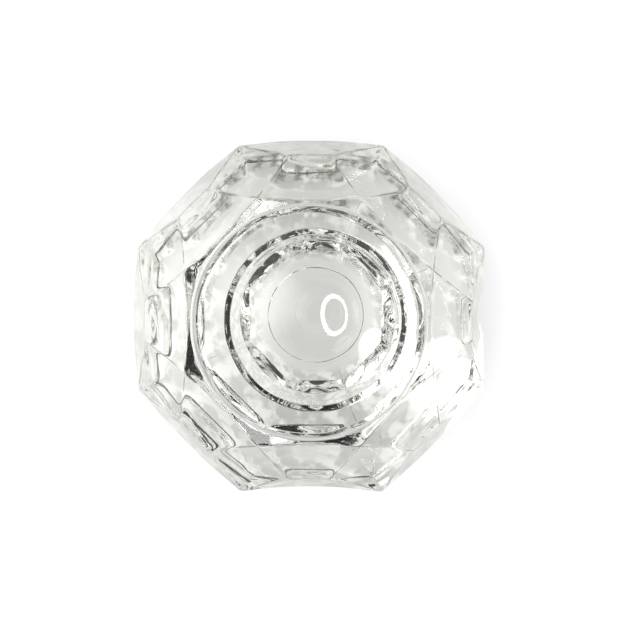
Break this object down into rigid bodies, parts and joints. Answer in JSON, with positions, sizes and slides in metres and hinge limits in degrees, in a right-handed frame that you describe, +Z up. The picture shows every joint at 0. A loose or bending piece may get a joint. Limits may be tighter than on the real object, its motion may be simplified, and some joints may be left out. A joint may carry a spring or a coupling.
{
  "type": "glass dappen dish",
  "caption": "Small faceted clear-glass dish with a round lip, a deep smooth bowl and a flat foot, for nail liquid or powder.",
  "frame": {"origin": "middle of the foot, on the surface that the dish stands on", "axes": "+Z up the axis of the body; +X and +Y each face the middle of a side panel"},
  "size_m": [0.046, 0.046, 0.028],
  "materials": {
    "clear_glass": "pressed, fire-polished, clear"
  },
  "bodies": {
    "root": {"dish": "clear_glass"}
  },
  "joints": []
}
